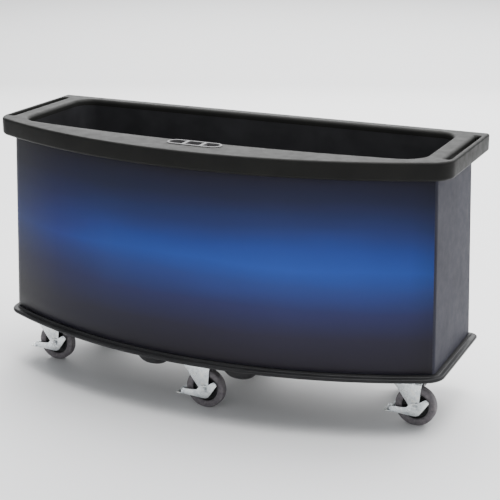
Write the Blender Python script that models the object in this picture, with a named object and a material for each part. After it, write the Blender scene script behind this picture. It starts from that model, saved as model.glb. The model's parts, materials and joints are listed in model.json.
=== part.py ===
"""Mobile ice bar: an insulated, curved-front beverage merchandiser on six swivel casters.

Frame: metres, +Z up, origin on the floor under the centre of the bounding box.
+X runs along the bar, -Y is the curved customer side, +Y is the straight operator side.
Run with: blender --background --python part.py
"""
import math

import bpy
import bmesh
from mathutils import Matrix, Vector

# ---------------------------------------------------------------- driving dimensions
LENGTH = 1.800
DEPTH = 0.720
HEIGHT = 1.010
FRONT_BULGE = 0.222            # how far the middle of the front stands ahead of its ends
GAP = 0.0003                   # clearance between pieces that touch

# moulded rim
RIM_HEIGHT = 0.066
RIM_EDGE_RADIUS = 0.009
RIM_FOOT = 0.011               # radius along the bottom of the fascia
RIM_DECK = 0.008
RIM_BAR = 0.015                # thickness of the fascia, which is the push bar at each end
RIM_FRONT_CORNER = 0.090
RIM_REAR_CORNER = 0.012
LIP_THICKNESS = 0.005
LIP_DEPTH = 0.025
LIP_ROLL = 0.014               # radius from the deck down into the well

# well
WELL_HALF_LENGTH = 0.795
WELL_REAR = 0.309
WELL_FRONT = -0.198
WELL_BULGE = 0.062
WELL_DEPTH = 0.320
WELL_DRAFT = 0.018             # how far the walls lean in, top to floor
WELL_FRONT_CORNER = 0.090
WELL_REAR_CORNER = 0.070
WELL_FLOOR_RADIUS = 0.030
LINER_WALL = 0.004
FOAM_FLOOR = 0.045
GRATE_RISE = 0.022             # underside of the false bottom above the well's floor
GRATE_THICKNESS = 0.004
GRATE_MARGIN = 0.010           # clearance to the foot of the well's walls
GRATE_FOOT_HALF = 0.006
GRATE_FEET_X = (0.10, 0.38, 0.66)
GRATE_FEET_Y = (-0.08, 0.24)
GRATE_SPLIT = 0.001            # half of the gap between the two false bottoms
GRATE_SLOT_REACH = 0.048       # half of a drain slot's length
GRATE_FIRST_SLOT = (0.060, -0.055)
GRATE_PITCH = (0.088, 0.135)
GRATE_SLOTS = (8, 3)
GRATE_SLOT = 0.0018            # half of a drain slot's width

# body shell: distance in from the rim's outline, at the top and at the bottom
SIDE_INSET = (0.053, 0.031)
FRONT_INSET = (0.050, 0.029)
REAR_INSET = (0.035, 0.025)
SHELL_WALL = 0.004
SHELL_CORNER = 0.014
PANEL_THICKNESS = 0.0025
PANEL_BOTTOM_GAP = 0.004
PANEL_TOP = 0.985

# base
SKIRT_BOTTOM = 0.216
SKIRT_TOP = 0.238
SKIRT_INSET = 0.001
SKIRT_LEDGE = 0.024            # how far in the cove at the foot of the wall starts
SKIRT_COVE = 0.007
SKIRT_LIP = 0.008              # radius over the bumper
SKIRT_FOOT = 0.006             # radius under the bumper
SKIRT_FRONT_CORNER = 0.085
SKIRT_REAR_CORNER = 0.030
PAD_BOTTOM = 0.190
PAD_HALF = (0.060, 0.050)
POD_BOTTOM = 0.150
POD_X = 0.178
POD_Y = -0.230
POD_HALF = (0.072, 0.070)

# support frame, between the base and the well's floor
FRAME_TUBE = 0.030
FRAME_POST_X = (-0.58, 0.0, 0.58)
FRAME_POST_Y = (-0.09, 0.24)
FRAME_OVERHANG = 0.12          # how far the long rails run past the end posts

# casters
WHEEL_RADIUS = 0.076
WHEEL_WIDTH = 0.034
CORE_RADIUS = 0.050
SWIVEL_TRAIL = 0.022
PLATE_SIZE = (0.105, 0.086, 0.004)
BOLT_PLACE = (0.041, 0.032)    # a plate bolt's distance from the swivel axis along X and Y
BOLT_RADIUS = 0.009
RACE_RADIUS = 0.031
AXLE_RADIUS = 0.006
FORK_INNER = 0.0215
FORK_WALL = 0.0035
PEDAL_WALL = 0.003
CROWN_UNDER = 0.1645
CROWN_TOP = 0.1695
BOWL_TOP = 0.1755
RACE_BOTTOM = 0.1760
KINGPIN_RADIUS = 0.007
FRONT_CASTER_X = 0.762
FRONT_CASTER_Y = -0.040
MIDDLE_CASTER_Y = -0.212
REAR_CASTER_X = 0.650
REAR_CASTER_Y = 0.230
# place, x, y and whether the caster has a brake pedal
CASTERS = (
    ("front_left", -FRONT_CASTER_X, FRONT_CASTER_Y, True),
    ("front_middle", 0.0, MIDDLE_CASTER_Y, True),
    ("front_right", FRONT_CASTER_X, FRONT_CASTER_Y, True),
    ("rear_left", -REAR_CASTER_X, REAR_CASTER_Y, False),
    ("rear_middle", 0.0, REAR_CASTER_Y, False),
    ("rear_right", REAR_CASTER_X, REAR_CASTER_Y, False),
)

# push-handle slots, accessory holder and drain
SLOT_X = (0.862, 0.8845)
SLOT_Y = (-0.095, 0.300)
SLOT_CORNER = 0.010
SLOT_ROLL = 0.014              # radius from the deck down into a hand slot
SLOT_EDGE_X = 0.8478           # where the thickened edge beside a hand slot starts, past the shell
SLOT_EDGE_BOTTOM = 0.988
HOLDER_Y = -0.243
HOLDER_SIZE = (0.212, 0.066)
HOLDER_DEPTH = 0.055
POCKET_WALL = 0.006
POCKET_RIB = 0.012
DRAIN_X = 0.330
DRAIN_Y = 0.050
PIPE_BORE = 0.0135
PIPE_RADIUS = 0.0190
PIPE_BOTTOM = 0.2280
FITTING_BORE = 0.0140
FITTING_THREAD = 0.0215
FITTING_FLANGE = 0.0330
FITTING_BOTTOM = 0.655
LOCKNUT_RADIUS = 0.0310
LOCKNUT_HEIGHT = 0.012
VALVE_BOTTOM = 0.160
VALVE_BORE = 0.0105
VALVE_Z = 0.196
VALVE_FACE = 0.026             # how far the valve's neck stands out from the pipe's axis
BALL_RADIUS = 0.0155

# how finely round shapes are cut
FRONT_SEGMENTS = 18
FRONT_CORNER_SEGMENTS = 5
REAR_CORNER_SEGMENTS = 3
FLOOR_STEPS = 3
WHEEL_SEGMENTS = 24

# ---------------------------------------------------------------- derived places
HALF = LENGTH / 2
REAR = DEPTH / 2
FASCIA_BOTTOM = HEIGHT - RIM_HEIGHT
DECK_UNDERSIDE = HEIGHT - RIM_DECK
WELL_FLOOR = HEIGHT - WELL_DEPTH
LINER_TOP = HEIGHT - LIP_DEPTH - GAP
LINER_UNDERSIDE = WELL_FLOOR - LINER_WALL
FOAM_BOTTOM = LINER_UNDERSIDE - FOAM_FLOOR
SHELL_TOP = DECK_UNDERSIDE - GAP
SHELL_BOTTOM = SKIRT_TOP + GAP
PLATE_TOP = PAD_BOTTOM - GAP


def arc_through(half_width, apex, bulge):
    """Centre and radius of the front arc with its apex at y=apex and its ends bulge behind it."""
    radius = (half_width ** 2 + bulge ** 2) / (2 * bulge)
    return apex + radius, radius


RIM_ARC_Y, RIM_ARC_RADIUS = arc_through(HALF, -REAR, FRONT_BULGE)
WELL_ARC_Y, WELL_ARC_RADIUS = arc_through(WELL_HALF_LENGTH, WELL_FRONT, WELL_BULGE)


# ---------------------------------------------------------------- helpers
def clear_scene():
    for item in list(bpy.data.objects):
        bpy.data.objects.remove(item, do_unlink=True)


def make_material(name, colour, roughness, metallic=0.0):
    material = bpy.data.materials.new(name)
    material.use_nodes = True
    shader = material.node_tree.nodes["Principled BSDF"]
    shader.inputs["Base Color"].default_value = (*colour, 1.0)
    shader.inputs["Roughness"].default_value = roughness
    shader.inputs["Metallic"].default_value = metallic
    return material


def add_object(name, mesh, material, smooth_angle=35):
    mesh.materials.clear()
    mesh.materials.append(material)
    mesh.shade_smooth()
    mesh.set_sharp_from_angle(angle=math.radians(smooth_angle))
    item = bpy.data.objects.new(name, mesh)
    bpy.context.scene.collection.objects.link(item)
    return item


def mesh_from(name, vertices, faces):
    mesh = bpy.data.meshes.new(name)
    mesh.from_pydata(vertices, [], faces)
    work = bmesh.new()
    work.from_mesh(mesh)
    bmesh.ops.recalc_face_normals(work, faces=work.faces)
    work.to_mesh(mesh)
    work.free()
    return mesh


def ring_at(outline_points, z):
    return [(x, y, z) for x, y in outline_points]


def loft(name, rings, closed=False):
    """Skin rings of equal length; closed joins the last ring to the first, else both are capped."""
    count = len(rings[0])
    vertices = [point for ring in rings for point in ring]
    faces = []
    steps = len(rings) if closed else len(rings) - 1
    for step in range(steps):
        low = step * count
        high = ((step + 1) % len(rings)) * count
        for index in range(count):
            after = (index + 1) % count
            faces.append((low + index, low + after, high + after, high + index))
    if not closed:
        faces.append(tuple(reversed(range(count))))
        faces.append(tuple(range((len(rings) - 1) * count, len(rings) * count)))
    return mesh_from(name, vertices, faces)


def d_outline(half, rear, arc_y, arc_radius, front_corner, rear_corner):
    """Straight rear and ends, an arc for the front and four rounded corners, anticlockwise."""
    corner_x = half - front_corner
    reach = arc_radius - front_corner
    corner_y = arc_y - math.sqrt(reach ** 2 - corner_x ** 2)
    swing = math.atan2(corner_x, arc_y - corner_y)
    points = []
    for step in range(FRONT_SEGMENTS + 1):
        angle = swing * (2 * step / FRONT_SEGMENTS - 1)
        points.append((arc_radius * math.sin(angle), arc_y - arc_radius * math.cos(angle)))
    start = swing - math.pi / 2
    for step in range(1, FRONT_CORNER_SEGMENTS + 1):
        angle = start * (1 - step / FRONT_CORNER_SEGMENTS)
        points.append((corner_x + front_corner * math.cos(angle),
                       corner_y + front_corner * math.sin(angle)))
    for side, first in ((1, 0.0), (-1, math.pi / 2)):
        for step in range(REAR_CORNER_SEGMENTS + 1):
            angle = first + math.pi / 2 * step / REAR_CORNER_SEGMENTS
            points.append((side * (half - rear_corner) + rear_corner * math.cos(angle),
                           rear - rear_corner + rear_corner * math.sin(angle)))
    for step in range(FRONT_CORNER_SEGMENTS):
        angle = math.pi - start * step / FRONT_CORNER_SEGMENTS
        points.append((-corner_x + front_corner * math.cos(angle),
                       corner_y + front_corner * math.sin(angle)))
    return points


def rim_outline(inset, front_corner=RIM_FRONT_CORNER, rear_corner=RIM_REAR_CORNER):
    return d_outline(HALF - inset, REAR - inset, RIM_ARC_Y, RIM_ARC_RADIUS - inset,
                     max(front_corner - inset, 0.004), max(rear_corner - inset, 0.004))


def well_outline(inset):
    return d_outline(WELL_HALF_LENGTH - inset, WELL_REAR - inset, WELL_ARC_Y,
                     WELL_ARC_RADIUS - inset, WELL_FRONT_CORNER - inset, WELL_REAR_CORNER - inset)


def wall_outline(z, deeper):
    """The body shell's outline at height z, moved inwards by deeper."""
    share = (z - SKIRT_TOP) / (FASCIA_BOTTOM - SKIRT_TOP)
    side, front, rear = (low + (high - low) * share
                         for high, low in (SIDE_INSET, FRONT_INSET, REAR_INSET))
    corner = max(SHELL_CORNER - deeper, 0.003)
    front += PANEL_THICKNESS + GAP
    return d_outline(HALF - side - deeper, REAR - rear - deeper, RIM_ARC_Y,
                     RIM_ARC_RADIUS - front - deeper, corner, corner)


def turned(name, profile, segments, axis="Z"):
    """A ring or disc turned about Z through the origin, from (radius, height) points.

    A profile that starts and ends off the axis closes on itself, leaving a bore."""
    bored = profile[0][0] > 0
    rings = []
    for radius, height in profile:
        rings.append([(radius * math.cos(2 * math.pi * step / segments),
                       radius * math.sin(2 * math.pi * step / segments), height)
                      for step in range(segments)])
    if not bored:
        rings = rings[1:-1]
    mesh = loft(name, rings, closed=bored)
    if axis == "Y":
        mesh.transform(Matrix.Rotation(math.radians(-90), 4, "X"))
    if axis == "X":
        mesh.transform(Matrix.Rotation(math.radians(90), 4, "Y"))
    return mesh


def block(name, low, high):
    x0, y0, z0 = low
    x1, y1, z1 = high
    outline_points = [(x0, y0), (x1, y0), (x1, y1), (x0, y1)]
    return loft(name, [ring_at(outline_points, z0), ring_at(outline_points, z1)])


def stadium(half_length, half_width, segments):
    """A slot outline along X with round ends, centred on the origin."""
    reach = half_length - half_width
    points = []
    for side, first in ((1, -math.pi / 2), (-1, math.pi / 2)):
        for step in range(segments + 1):
            angle = first + math.pi * step / segments
            points.append((side * reach + half_width * math.cos(angle),
                           half_width * math.sin(angle)))
    return points


def rounded_rectangle(half_x, half_y, radius, segments):
    points = []
    for corner in range(4):
        side_x = 1 if corner in (0, 3) else -1
        side_y = 1 if corner in (0, 1) else -1
        for step in range(segments + 1):
            angle = math.pi / 2 * (corner + step / segments)
            points.append((side_x * (half_x - radius) + radius * math.cos(angle),
                           side_y * (half_y - radius) + radius * math.sin(angle)))
    return points


def shift(points, x, y):
    return [(px + x, py + y) for px, py in points]


def side_plate(name, profile, y0, y1):
    """An (x, z) outline given a thickness along Y."""
    return loft(name, [[(x, y0, z) for x, z in profile], [(x, y1, z) for x, z in profile]])


def joined(name, meshes):
    """Separate closed shapes in one mesh, for use as a group of cutters."""
    work = bmesh.new()
    for mesh in meshes:
        work.from_mesh(mesh)
    mesh = bpy.data.meshes.new(name)
    work.to_mesh(mesh)
    work.free()
    return mesh


def combine(mesh, steps):
    """Apply Boolean steps, each an operation and a mesh, and return the finished mesh."""
    item = bpy.data.objects.new("work", mesh)
    bpy.context.scene.collection.objects.link(item)
    guides = []
    for operation, tool in steps:
        guide = bpy.data.objects.new("tool", tool)
        guide.hide_render = True
        guide.display_type = "WIRE"
        bpy.context.scene.collection.objects.link(guide)
        guides.append(guide)
        cut = item.modifiers.new(operation.lower(), "BOOLEAN")
        cut.operation = operation
        cut.solver = "EXACT"
        cut.object = guide
    bpy.context.view_layer.update()
    graph = bpy.context.evaluated_depsgraph_get()
    result = bpy.data.meshes.new_from_object(item.evaluated_get(graph))
    for used in [item] + guides:
        bpy.data.objects.remove(used, do_unlink=True)
    return result


def moved(mesh, x=0.0, y=0.0, z=0.0):
    mesh.transform(Matrix.Translation((x, y, z)))
    return mesh


# ---------------------------------------------------------------- the moulded body
def top_rim(material):
    """Deck, deep fascia and lip in one moulding, with a push-handle slot at each end."""
    edge = RIM_EDGE_RADIUS
    rings = []
    for step in range(3):
        angle = math.pi / 2 * step / 2
        rings.append(ring_at(rim_outline(RIM_FOOT * (1 - math.sin(angle))),
                             FASCIA_BOTTOM + RIM_FOOT * (1 - math.cos(angle))))
    for step in range(4):
        angle = math.pi / 2 * step / 3
        rings.append(ring_at(rim_outline(edge * (1 - math.cos(angle))),
                             HEIGHT - edge * (1 - math.sin(angle))))
    for step in range(4):
        angle = math.pi / 2 * step / 3
        rings.append(ring_at(well_outline(-LIP_ROLL * (1 - math.sin(angle))),
                             HEIGHT - LIP_ROLL * (1 - math.cos(angle))))
    rings.append(ring_at(well_outline(0.0), HEIGHT - LIP_DEPTH))
    rings.append(ring_at(well_outline(-LIP_THICKNESS), HEIGHT - LIP_DEPTH))
    rings.append(ring_at(well_outline(-LIP_THICKNESS), DECK_UNDERSIDE))
    rings.append(ring_at(rim_outline(RIM_BAR), DECK_UNDERSIDE))
    rings.append(ring_at(rim_outline(RIM_BAR), FASCIA_BOTTOM))
    mesh = loft("top_rim", rings, closed=True)
    edges = joined("slot_edges", [slot_edge(side) for side in (-1, 1)])
    holder = stadium(HOLDER_SIZE[0] / 2 - 0.006, HOLDER_SIZE[1] / 2 - 0.006, 8)
    cutters = [loft("holder_opening", [ring_at(shift(holder, 0, HOLDER_Y), DECK_UNDERSIDE - 0.01),
                                       ring_at(shift(holder, 0, HOLDER_Y), HEIGHT + 0.01)])]
    cutters += [handle_slot(side) for side in (-1, 1)]
    mesh = combine(mesh, [("UNION", edges), ("DIFFERENCE", joined("openings", cutters))])
    return add_object("top_rim", mesh, material)


def slot_edge(side):
    """The deck made thicker beside a hand slot, so that its edge can roll over in a wide radius."""
    margin = 0.012
    low, high = sorted((side * SLOT_EDGE_X, side * (SLOT_X[0] + 0.004)))
    return block("slot_edge", (low, SLOT_Y[0] - margin, SLOT_EDGE_BOTTOM),
                 (high, SLOT_Y[1] + margin, HEIGHT - RIM_DECK / 2))


def handle_slot(side):
    """Cutter for a hand slot whose deck side rolls over in a wide radius."""
    middle_y = sum(SLOT_Y) / 2
    half_y = (SLOT_Y[1] - SLOT_Y[0]) / 2
    rings = []
    roll, steps = SLOT_ROLL, 4
    levels = [(DECK_UNDERSIDE - 0.02, 0.0)]
    levels += [(HEIGHT - roll * (1 - math.sin(angle)), roll * (1 - math.cos(angle)))
               for angle in (math.pi / 2 * step / steps for step in range(steps))]
    levels.append((HEIGHT + 0.01, roll))
    for z, wider in levels:
        low, high = SLOT_X[0] - wider, SLOT_X[1]
        outline_points = rounded_rectangle((high - low) / 2, half_y + wider / 2, SLOT_CORNER, 3)
        rings.append(ring_at(shift(outline_points, side * (low + high) / 2, middle_y), z))
    return loft("handle_slot", rings)


def well_section(z):
    """How far the well's inner wall stands in from its opening at height z above the floor radius."""
    return WELL_DRAFT * (LINER_TOP - z) / (LINER_TOP - WELL_FLOOR)


def ice_well(material):
    """The liner: a drafted tub with rounded corners and a rounded floor."""
    inner = [ring_at(well_outline(0.0), LINER_TOP)]
    radius = WELL_FLOOR_RADIUS
    outer = [ring_at(well_outline(-LINER_WALL), LINER_TOP)]
    for step in range(FLOOR_STEPS + 1):
        angle = math.pi / 2 * step / FLOOR_STEPS
        z = WELL_FLOOR + radius * (1 - math.sin(angle))
        inset = well_section(WELL_FLOOR + radius) + radius * (1 - math.cos(angle))
        inner.append(ring_at(well_outline(inset), z))
        outer.append(ring_at(well_outline(inset - LINER_WALL * math.cos(angle)),
                             z - LINER_WALL * math.sin(angle)))
    mesh = loft("ice_well", outer[::-1] + inner)
    drain = turned("drain_hole", drain_hole_profile(0.0220, 0.02), 18)
    mesh = combine(mesh, [("DIFFERENCE", moved(drain, DRAIN_X, DRAIN_Y, WELL_FLOOR))])
    return add_object("ice_well", mesh, material)


def drain_hole_profile(radius, reach):
    return [(0, -reach), (radius, -reach), (radius, reach), (0, reach)]


def foam_core(material):
    """Insulation moulded between the liner and the shell."""
    top = HEIGHT - RIM_DECK - 0.006
    space = LINER_WALL + GAP
    radius = WELL_FLOOR_RADIUS
    low, high = FOAM_BOTTOM, top
    outer = [ring_at(wall_outline(z, SHELL_WALL + GAP), z) for z in (low, high)]
    inner = [ring_at(well_outline(-LIP_THICKNESS - GAP), high),
             ring_at(well_outline(-LIP_THICKNESS - GAP), LINER_TOP)]
    for step in range(FLOOR_STEPS + 1):
        angle = math.pi / 2 * step / FLOOR_STEPS
        z = WELL_FLOOR + radius * (1 - math.sin(angle)) - space * math.sin(angle)
        inset = well_section(WELL_FLOOR + radius) + radius * (1 - math.cos(angle))
        inner.append(ring_at(well_outline(inset - space * math.cos(angle)), z))
    mesh = loft("foam_core", outer + inner)
    drain = turned("drain_bore", drain_hole_profile(0.036, 0.08), 18)
    recess = stadium(HOLDER_SIZE[0] / 2 - 0.004, HOLDER_SIZE[1] / 2 - 0.004, 6)
    recess = loft("holder_recess", [ring_at(shift(recess, 0, HOLDER_Y), z)
                                    for z in (HEIGHT - HOLDER_DEPTH - 0.003, HEIGHT)])
    mesh = combine(mesh, [("DIFFERENCE", moved(drain, DRAIN_X, DRAIN_Y, FOAM_BOTTOM + 0.02)),
                          ("DIFFERENCE", recess)])
    return add_object("foam_core", mesh, material)


def body_shell(material):
    rings = [ring_at(wall_outline(SHELL_BOTTOM, 0.0), SHELL_BOTTOM),
             ring_at(wall_outline(SHELL_TOP, 0.0), SHELL_TOP),
             ring_at(wall_outline(SHELL_TOP, SHELL_WALL), SHELL_TOP),
             ring_at(wall_outline(SHELL_BOTTOM, SHELL_WALL), SHELL_BOTTOM)]
    return add_object("body_shell", loft("body_shell", rings, closed=True), material)


def front_panel(material):
    """The thin printed sheet that covers the whole curved front, corner to corner."""
    bottom, top = SKIRT_TOP + PANEL_BOTTOM_GAP, PANEL_TOP
    corners = []
    for z in (bottom, top):
        corners.append((z, wall_outline(z, 0.0)[:FRONT_SEGMENTS + 1]))
    vertices = []
    for z, front in corners:
        for x, y in front:
            radial = Vector((x, y - RIM_ARC_Y)).normalized()
            inner = Vector((x, y)) + radial * GAP
            outer = inner + radial * PANEL_THICKNESS
            vertices.append((inner.x, inner.y, z))
            vertices.append((outer.x, outer.y, z))
    count = 2 * (FRONT_SEGMENTS + 1)
    faces = []
    for step in range(0, count - 2, 2):
        low, high = step, step + count
        faces += [(low + 1, low + 3, high + 3, high + 1), (low, high, high + 2, low + 2),
                  (low, low + 2, low + 3, low + 1), (high, high + 1, high + 3, high + 2)]
    faces += [(0, 1, count + 1, count), (count - 2, 2 * count - 2, 2 * count - 1, count - 1)]
    return add_object("front_panel", mesh_from("front_panel", vertices, faces), material)


def base_skirt(material):
    """Floor of the body with its bumper skirt, six caster pads and two moulded pods."""
    def ring(inset, z):
        return ring_at(rim_outline(inset, SKIRT_FRONT_CORNER, SKIRT_REAR_CORNER), z)
    ledge, lip, foot = SKIRT_LEDGE, SKIRT_LIP, SKIRT_FOOT
    ledge_z = SKIRT_TOP - SKIRT_COVE
    profile = [(ledge, SKIRT_TOP), (ledge - 0.3 * SKIRT_COVE, SKIRT_TOP - 0.7 * SKIRT_COVE),
               (ledge - SKIRT_COVE, ledge_z), (SKIRT_INSET + lip, ledge_z),
               (SKIRT_INSET + 0.3 * lip, ledge_z - 0.3 * lip), (SKIRT_INSET, ledge_z - lip),
               (SKIRT_INSET, SKIRT_BOTTOM + foot),
               (SKIRT_INSET + 0.3 * foot, SKIRT_BOTTOM + 0.3 * foot),
               (SKIRT_INSET + foot, SKIRT_BOTTOM)]
    mesh = loft("base_skirt", [ring(inset, z) for inset, z in profile])
    steps = [("UNION", joined("pads", [caster_pad(x, y) for _, x, y, _ in CASTERS])),
             ("UNION", joined("pods", [pod(side) for side in (-1, 1)]))]
    drain = turned("drain_hole", drain_hole_profile(0.020, 0.06), 18)
    steps.append(("DIFFERENCE", moved(drain, DRAIN_X, DRAIN_Y, SKIRT_BOTTOM)))
    return add_object("base_skirt", combine(mesh, steps), material)


def caster_pad(x, y):
    """A drafted boss that brings the base down to the caster plate."""
    rings = []
    chamfer, corner = 0.003, 0.012
    for wider, z in ((-0.002, PAD_BOTTOM), (0.0, PAD_BOTTOM + chamfer), (0.006, SKIRT_BOTTOM + 0.004)):
        outline_points = rounded_rectangle(PAD_HALF[0] + wider, PAD_HALF[1] + wider, corner, 2)
        rings.append(ring_at(shift(outline_points, x, y), z))
    return loft("caster_pad", rings)


def pod(side):
    """A rounded stiffening pod hanging under the base, either side of the middle caster."""
    rings = []
    height = SKIRT_BOTTOM - POD_BOTTOM
    for step in range(5):
        angle = math.pi / 2 * (step + 0.5) / 4.5
        spread = math.sin(angle) ** 0.7
        z = POD_BOTTOM + height * (1 - math.cos(angle)) + 0.004 * step / 4
        outline_points = rounded_rectangle(POD_HALF[0] * spread, POD_HALF[1] * spread,
                                           min(POD_HALF) * spread * 0.8, 3)
        rings.append(ring_at(shift(outline_points, side * POD_X, POD_Y), z))
    return loft("pod", rings)


def support_frame(material):
    """Welded square-tube frame that carries the well's floor on the base."""
    tube = FRAME_TUBE / 2
    xs, ys = FRAME_POST_X, FRAME_POST_Y
    top = FOAM_BOTTOM - GAP
    bottom = SKIRT_TOP + GAP
    posts = [block("post", (x - tube, y - tube, bottom), (x + tube, y + tube, top - tube))
             for x in xs for y in ys]
    rails = [block("rail", (xs[0] - FRAME_OVERHANG, y - tube, top - 2 * tube),
                   (xs[-1] + FRAME_OVERHANG, y + tube, top)) for y in ys]
    ties = [block("tie", (x - tube, ys[0], top - 2 * tube), (x + tube, ys[1], top)) for x in xs]
    mesh = combine(rails[0], [("UNION", rails[1])] + [("UNION", tie) for tie in ties])
    mesh = combine(mesh, [("UNION", joined("posts", posts))])
    return add_object("support_frame", mesh, material)


# ---------------------------------------------------------------- what sits in the deck and the well
def accessory_holder(material):
    """Oblong drop-in caddy with three pockets parted by two ribs."""
    half_x, half_y = HOLDER_SIZE[0] / 2, HOLDER_SIZE[1] / 2
    body = 0.0065
    top = HEIGHT + GAP
    sections = [(body, HEIGHT - HOLDER_DEPTH), (body, top), (0.0, top), (0.0, top + 0.0015),
                (0.0015, top + 0.0025)]
    rings = [ring_at(shift(stadium(half_x - inset, half_y - inset, 10), 0, HOLDER_Y), z)
             for inset, z in sections]
    mesh = loft("accessory_holder", rings)
    pockets = [pocket(index) for index in (-1, 0, 1)]
    mesh = combine(mesh, [("DIFFERENCE", joined("pockets", pockets))])
    return add_object("accessory_holder", mesh, material)


def pocket(index):
    """One compartment: square in the middle, round-ended at either side."""
    floor_z, top_z = HEIGHT - HOLDER_DEPTH + 0.004, HEIGHT + 0.02
    half_y = HOLDER_SIZE[1] / 2 - 0.0065 - POCKET_WALL / 2
    full = HOLDER_SIZE[0] / 2 - 0.0065 - POCKET_WALL / 2
    cell = (2 * full - 2 * POCKET_RIB) / 6
    if index == 0:
        outline_points = rounded_rectangle(cell, half_y, 0.006, 3)
    else:
        inner, outer = cell + POCKET_RIB, full
        outline_points = [(inner, -half_y), *(
            (outer - half_y + half_y * math.cos(angle), half_y * math.sin(angle))
            for angle in (math.pi * (step / 10 - 0.5) for step in range(11))), (inner, half_y)]
        if index < 0:
            outline_points = [(-x, y) for x, y in reversed(outline_points)]
    return loft("pocket", [ring_at(shift(outline_points, 0, HOLDER_Y), z) for z in (floor_z, top_z)])


def false_bottom(side, material):
    """Half of the slotted grate that keeps ice out of the melt water; it lifts straight out."""
    name = "false_bottom_left" if side < 0 else "false_bottom_right"
    low = WELL_FLOOR + GRATE_RISE
    high = low + GRATE_THICKNESS
    inset = WELL_DRAFT + GRATE_MARGIN
    plate = loft(name, [ring_at(well_outline(inset), z) for z in (low, high)])
    split = GRATE_SPLIT if side > 0 else -GRATE_SPLIT
    other = block("other_half", (min(-side, split), -1.0, 0.0), (max(-side, split), 1.0, HEIGHT))
    half = GRATE_FOOT_HALF
    feet = [block("foot", (side * x - half, y - half, WELL_FLOOR + GAP),
                  (side * x + half, y + half, low + GRATE_THICKNESS / 2))
            for x in GRATE_FEET_X for y in GRATE_FEET_Y]
    slots = []
    for column in range(GRATE_SLOTS[0]):
        for row in range(GRATE_SLOTS[1]):
            x = side * (GRATE_FIRST_SLOT[0] + GRATE_PITCH[0] * column)
            y = GRATE_FIRST_SLOT[1] + GRATE_PITCH[1] * row
            slots.append(block("slot", (x - GRATE_SLOT, y - GRATE_SLOT_REACH, low - 0.01),
                               (x + GRATE_SLOT, y + GRATE_SLOT_REACH, high + 0.01)))
    mesh = combine(plate, [("UNION", joined("feet", feet)), ("DIFFERENCE", other),
                           ("DIFFERENCE", joined("slots", slots))])
    return add_object(name, mesh, material)


# ---------------------------------------------------------------- drain
def drain(plastic, metal, grip):
    """Bulkhead fitting, locknut, pipe and quarter-turn ball valve, in a line down from the well."""
    def place(name, profile, material, segments=18):
        return add_object(name, moved(turned(name, profile, segments), DRAIN_X, DRAIN_Y), material)
    floor, under = WELL_FLOOR + GAP, LINER_UNDERSIDE - GAP
    thread = FITTING_THREAD
    place("drain_fitting", [(FITTING_BORE, floor + 0.003), (FITTING_FLANGE - 0.002, floor + 0.003),
                            (FITTING_FLANGE, floor), (thread, floor), (thread, FITTING_BOTTOM),
                            (FITTING_BORE, FITTING_BOTTOM)], plastic)
    place("drain_locknut", [(thread + 0.0005, under), (LOCKNUT_RADIUS, under),
                            (LOCKNUT_RADIUS, under - LOCKNUT_HEIGHT),
                            (thread + 0.0005, under - LOCKNUT_HEIGHT)], plastic)
    strainer = turned("drain_strainer", [(0, floor + 0.0075), (0.010, floor + 0.0075),
                                         (0.024, floor + 0.0033), (0.0135, floor + 0.0033),
                                         (0.0135, floor - 0.010), (0, floor - 0.010)], 16)
    holes = [turned("hole", drain_hole_profile(0.0022, 0.03), 6) for _ in range(5)]
    for index, hole in enumerate(holes):
        reach = 0.0 if index == 0 else 0.0075
        angle = math.pi / 2 * index
        moved(hole, reach * math.cos(angle), reach * math.sin(angle), floor)
    strainer = combine(strainer, [("DIFFERENCE", joined("holes", holes))])
    add_object("drain_strainer", moved(strainer, DRAIN_X, DRAIN_Y), metal)
    pipe_top = FITTING_BOTTOM - GAP
    place("drain_pipe", [(PIPE_BORE, pipe_top), (PIPE_RADIUS, pipe_top), (PIPE_RADIUS, PIPE_BOTTOM),
                         (PIPE_BORE, PIPE_BOTTOM)], plastic)
    drain_valve(plastic, metal, grip)


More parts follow.
